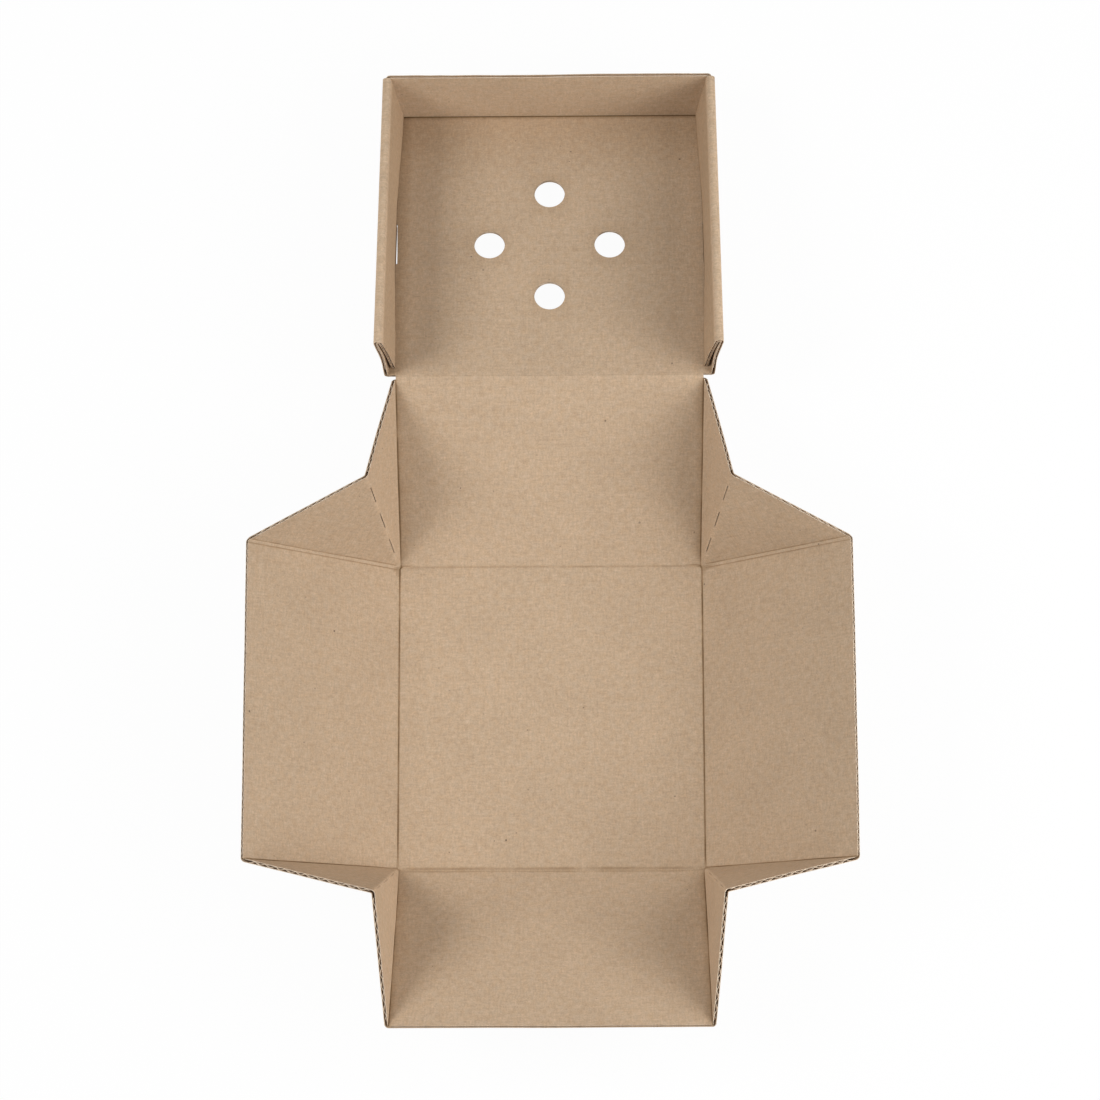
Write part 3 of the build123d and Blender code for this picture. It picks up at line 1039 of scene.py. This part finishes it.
def build_lid(pile):
    sheet = LidSheet()
    build_panel(sheet)
    build_walls(sheet)
    build_front(sheet)
    points, blank, tone, outside, squeeze = zip(*sheet.rows)
    add_board(pile, np.array(points), sheet.faces, blank, tone, outside, squeeze)
    for side in SIDES:
        for begin, way, phase in LID_ENDS:
            add_end_flutes(pile, side, begin, way, phase)
    add_top_flutes(pile)
    for x, y in VENTS:
        add_vent_flutes(pile, x, y)


def add_end_flutes(pile, side, begin, way, phase):
    """Fluting seen in a cut end of a side wall."""
    def place(index, step):
        y = begin + way * step * FLUTE_STEP
        here = wall_place(side, index, y)
        before = wall_place(side, index - 1, y)
        after = wall_place(side, min(index + 1, PROFILE_LAST), y)
        normal = np.cross(unit(after - before), point(0, 1, 0)) * side
        wave = flute(step * FLUTE_STEP, phase + ripple(here, END_FLUTE_CRUSH))
        return to_box(here + normal * wave), to_box(normal) - HINGE, [PROFILE[index][3], y, 0.0]

    add_ribbon(pile, range(CREASE_STEPS + 1, len(PROFILE)), FLUTE_GRID, place)


def add_top_flutes(pile):
    """Fluting seen in the front wall's top edge."""
    y, top, _ = FRONT_ROWS[-1]
    half = TAB_FOOT + front_spread(top) - LID_TOP_INSET

    def place(step, column):
        drop = FLUTE_INSET + step * FLUTE_STEP
        x = (2 * column / LID_TOP_COLUMNS - 1) * half
        z = top - drop
        wave = flute(drop, LID_TOP_PHASE + ripple((x, 0, 0), TOP_FLUTE_CRUSH))
        shift = front_warp(x, y, z) - drop * tan(FRONT_TILT) - wave
        return to_box(point(x, y + shift, z)), -LID_DOWN, [x, drop, 0.0]

    add_ribbon(pile, FLUTE_GRID, range(LID_TOP_COLUMNS + 1), place)


def add_vent_flutes(pile, x, y):
    """Fluting seen in a vent's edge."""
    def place(step, deep):
        angle = 2 * pi * step / VENT_FLUTES
        radius = VENT / 2 + FLUTE_INSET + deep
        a, b = x + radius * cos(angle), y + radius * sin(angle)
        return to_box(point(a, b, lid_warp(a, b) + flute(b))), LID_UP, [a, b, 0.0]

    add_ribbon(pile, range(VENT_FLUTES + 1), VENT_FLUTE_DEPTHS, place)


BACK_UP = point(0, cos(BACK_RISE), sin(BACK_RISE))


def build_hinge(pile):
    """The crease between the back wall and the lid, rounded between them."""
    half = BACK_HALF - HINGE_INSET
    wide = HINGE_COLUMNS + 1
    points, blank, tone = [], [], []
    for step, place in enumerate(fillet(BACK_UP, HINGE, LID_DOWN, HINGE_HALF, HINGE_STEPS)):
        share = step / HINGE_STEPS
        for column in range(wide):
            x = half * (2 * column / HINGE_COLUMNS - 1)
            points.append(place + point(x, 0, 0))
            blank.append(point(x, LID_BLANK + (share - 0.5) * 2 * HINGE_HALF, 0))
            tone.append(lines_at(HINGE_TONES, share) * (HINGE_WEAR + ripple((x, 0, 0), HINGE_RUB)))
    add_board(pile, np.array(points), grid_faces(HINGE_STEPS + 1, wide), blank, tone)


class Nodes:
    """Adds nodes to a tree. A socket gets a constant or another node's output."""

    def __init__(self, tree):
        self.tree = tree

    def fill(self, node, sockets):
        for key, value in sockets.items():
            if isinstance(value, bpy.types.NodeSocket):
                self.tree.links.new(value, node.inputs[key])
            else:
                node.inputs[key].default_value = value

    def add(self, kind, sockets, output=0, **values):
        made = self.tree.nodes.new("ShaderNode" + kind)
        for key, value in values.items():
            setattr(made, key, value)
        self.fill(made, sockets)
        return made.outputs[output]

    def math(self, operation, a, b):
        return self.add("Math", {0: a, 1: b}, operation=operation)

    def seen_plainly(self):
        """1 for what the camera sees, also mirrored or through glass, and 0 for light on its way."""
        path = self.add("LightPath", {}).node.outputs
        seen = self.math("MAXIMUM", path["Is Camera Ray"], path["Is Glossy Ray"])
        return self.math("MAXIMUM", seen, path["Is Transmission Ray"])


def new_material(name):
    material = bpy.data.materials.new(name)
    material.use_nodes = True
    return material, Nodes(material.node_tree), material.node_tree.nodes["Principled BSDF"]


# Paper: scale, detail and roughness of each noise, and the range of brightness that it gives
CLOUD = (0.035, 3, 0.55)
CLOUD_LEVEL = (0.962, 1.035)
MOTTLE = (0.33, 4, 0.6)
MOTTLE_LEVEL = (0.965, 1.035)
FIBRE = (1.0, 3, 0.6)
FIBRE_LONG, FIBRE_THIN = 0.32, 1.1
GRAIN = (1.5, 3, 0.65)
GRAIN_LEVEL = (0.88, 1.12)
GRAIN_ROUGH = (0.82, 0.94)
WASHBOARD = {"Scale": 2 * pi / 20 / PITCH, "Distortion": 0.6, "Detail Scale": 0.15}
WASHBOARD_LEVEL = (0.994, 1.005)
SPECK_CELLS = 0.21
SPECK_SIZE = 0.095
SPECK_RARITY = 0.55
DARK_DEPTH = 0.62
LIGHT_DEPTH = 0.45
# Brown of the dark tones, which are marks and painted shade
MARK_AND_SHADE_BROWN = (1.0, 0.84, 0.62, 1)
MARK_AND_SHADE_BROWN_DEPTH = 1.6
WARM = (1.02, 0.985, 0.95)
COOL = (0.985, 1.01, 1.05)
KRAFT = (0.52, 0.383, 0.258)
# Lighter than the liners: the cut paper, with painted light for the white backdrop's glow round the edges
CUT_PAPER = (0.74, 0.6, 0.455)


def kraft_material(name, tint, fibre_depth, specks):
    """Unbleached kraft: matte, mottled, with fibres both ways, specks and the faint washboard of flutes."""
    material, nodes, shader = new_material(name)
    add, math_of = nodes.add, nodes.math
    times = partial(math_of, "MULTIPLY")
    blank = add("Attribute", {}, "Vector", attribute_name="blank")
    tone = add("Attribute", {}, "Fac", attribute_name="tone")

    def scaled(x, y):
        return add("Mapping", {"Vector": blank, "Scale": (x, y, 1)})

    def noise_of(vector, row):
        scale, detail, rough = row
        sockets = {"Vector": vector, "Scale": scale, "Detail": detail, "Roughness": rough}
        return add("TexNoise", sockets, "Fac")

    def ramp(value, low, high, from_low=0.3, from_high=0.7):
        ends = {"From Min": from_low, "From Max": from_high, "To Min": low, "To Max": high}
        return add("MapRange", {"Value": value, **ends}, "Result")

    def tinted(shift):
        return (*(a * b for a, b in zip(tint, shift)), 1)

    cloud = noise_of(blank, CLOUD)
    mottle = noise_of(blank, MOTTLE)
    along = noise_of(scaled(FIBRE_LONG, FIBRE_THIN), FIBRE)
    upright = noise_of(scaled(FIBRE_THIN, FIBRE_LONG), FIBRE)
    grain = noise_of(blank, GRAIN)
    wave = add("TexWave", {"Vector": blank, **WASHBOARD}, "Fac",
               wave_type="BANDS", bands_direction="Y", wave_profile="SIN")

    fibre_level = (1 - fibre_depth, 1 + fibre_depth)
    level = ramp(cloud, *CLOUD_LEVEL)
    fibres = [(along, fibre_level), (upright, fibre_level)]
    for part, ends in [(mottle, MOTTLE_LEVEL)] + fibres + [(grain, GRAIN_LEVEL)]:
        level = times(level, ramp(part, *ends))
    level = times(level, ramp(wave, *WASHBOARD_LEVEL, 0, 1))

    cells = {"Vector": blank, "Scale": SPECK_CELLS}
    distance = add("TexVoronoi", cells, "Distance", feature="F1")
    chance = add("SeparateColor", {"Color": distance.node.outputs["Color"]}, "Red")
    near = math_of("LESS_THAN", distance, ramp(chance, 0.0, SPECK_SIZE, SPECK_RARITY, 1.0))
    spot = times(near, times(chance.node.outputs["Green"], specks))
    level = times(level, math_of("SUBTRACT", 1.0, spot))

    # The tone attribute darkens and browns marks and painted shade below 0, and lightens above 0
    dark = times(math_of("MINIMUM", tone, 0.0), DARK_DEPTH)
    light = times(math_of("MAXIMUM", tone, 0.0), LIGHT_DEPTH)
    level = times(level, math_of("ADD", 1.0, math_of("ADD", dark, light)))

    mix = partial(add, "Mix", output="Result", data_type="RGBA")
    colour = mix({"A": tinted(WARM), "B": tinted(COOL), "Factor": ramp(mottle, 0, 1)}, blend_type="MIX")
    brown = times(dark, -MARK_AND_SHADE_BROWN_DEPTH)
    colour = mix({"A": colour, "B": MARK_AND_SHADE_BROWN, "Factor": brown}, blend_type="MULTIPLY")
    shade = add("VectorMath", {"Vector": colour, "Scale": level}, "Vector", operation="SCALE")

    height = times(along, 0.5)
    for part, depth in ((upright, 0.4), (grain, 0.5), (wave, 0.22)):
        height = math_of("ADD", height, times(part, depth))
    bump = add("Bump", {"Height": height, "Strength": 0.16, "Distance": 0.0003}, "Normal")
    nodes.fill(shader, {"Base Color": shade, "Specular IOR Level": 0.22, "Normal": bump})
    nodes.fill(shader, {"Roughness": ramp(grain, *GRAIN_ROUGH)})
    return material


liner = kraft_material("kraft_liner", KRAFT, fibre_depth=0.085, specks=0.62)
cut = kraft_material("kraft_cut_edge", CUT_PAPER, fibre_depth=0.08, specks=0.3)


def piece(name, build):
    pile = Pile()
    build(pile)
    return pile.make(name, [liner, cut])


tray = piece("tray_board", build_tray)
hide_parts("tray")
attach(tray, "tray")

lid = piece("lid_board", build_lid)
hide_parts("lid")
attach(lid, "lid")

hinge = piece("hinge_fold", build_hinge)
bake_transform(hinge)

# Studio, in metres
FLOOR_REACH = 6.0
FLOOR_GLOW = 0.96
AMBIENT = 0.305
LAMP_TARGET = Vector((0, 0.06, 0.02))
LAMPS = [
    ("left_box", (-0.849, 0.06, 0.869), (0.5, 0.5), 7.1),
    ("right_box", (0.575, 0.06, 0.502), (0.5, 0.5), 2.35),
    ("low_box", (0.93, -0.44, 0.6), (1.0, 0.6), 5.4),
]
CAMERA_PLACE = (0.01813, -0.21717, 1.38647)
CAMERA_RIGHT = Vector((0.9999, -0.00242, -0.01383)).normalized()
CAMERA_FORWARD = Vector((-0.01304, 0.20449, -0.97878)).normalized()


def floor_material():
    """White studio floor. The camera sees it nearly white, with a trace of the box's own shadow left."""
    material, nodes, shader = new_material("studio_floor")
    nodes.fill(shader, {"Base Color": (0.86, 0.86, 0.86, 1), "Roughness": 0.9, "Specular IOR Level": 0.1})
    share = nodes.math("MULTIPLY", nodes.seen_plainly(), FLOOR_GLOW)
    glow = nodes.add("Emission", {"Strength": 1.0})
    mix = nodes.add("MixShader", {0: share, 1: shader.outputs["BSDF"], 2: glow})
    nodes.fill(material.node_tree.nodes["Material Output"], {"Surface": mix})
    return material


mesh = bpy.data.meshes.new("studio_floor")
mesh.from_pydata([(x * FLOOR_REACH, y * FLOOR_REACH, 0) for x, y in CORNERS], [], [[0, 2, 3, 1]])
mesh.materials.append(floor_material())
floor = put("studio_floor", mesh)

world = bpy.data.worlds.new("studio")
world.use_nodes = True
bpy.context.scene.world = world
nodes = Nodes(world.node_tree)
ambient = {"Value": nodes.seen_plainly(), "To Min": AMBIENT, "To Max": 1.0}
strength = nodes.add("MapRange", ambient, "Result")
nodes.fill(world.node_tree.nodes["Background"], {"Color": (1.0, 1.0, 1.0, 1), "Strength": strength})

for name, place, size, power in LAMPS:
    data = bpy.data.lights.new(name, "AREA")
    data.shape = "RECTANGLE"
    data.size, data.size_y = size
    data.energy = power
    lamp = put(name, data)
    lamp.location = place
    lamp.rotation_euler = (LAMP_TARGET - Vector(place)).to_track_quat("-Z", "Y").to_euler()

data = bpy.data.cameras.new("photo_camera")
data.sensor_width = 36
data.lens = 108
data.clip_end = 50
camera = put("photo_camera", data)
right = (CAMERA_RIGHT - CAMERA_FORWARD * CAMERA_RIGHT.dot(CAMERA_FORWARD)).normalized()
turn = Matrix((right, right.cross(CAMERA_FORWARD), -CAMERA_FORWARD)).transposed().to_4x4()
camera.matrix_world = Matrix.Translation(CAMERA_PLACE) @ turn
bpy.context.scene.camera = camera
bpy.context.scene.view_settings.view_transform = "Standard"
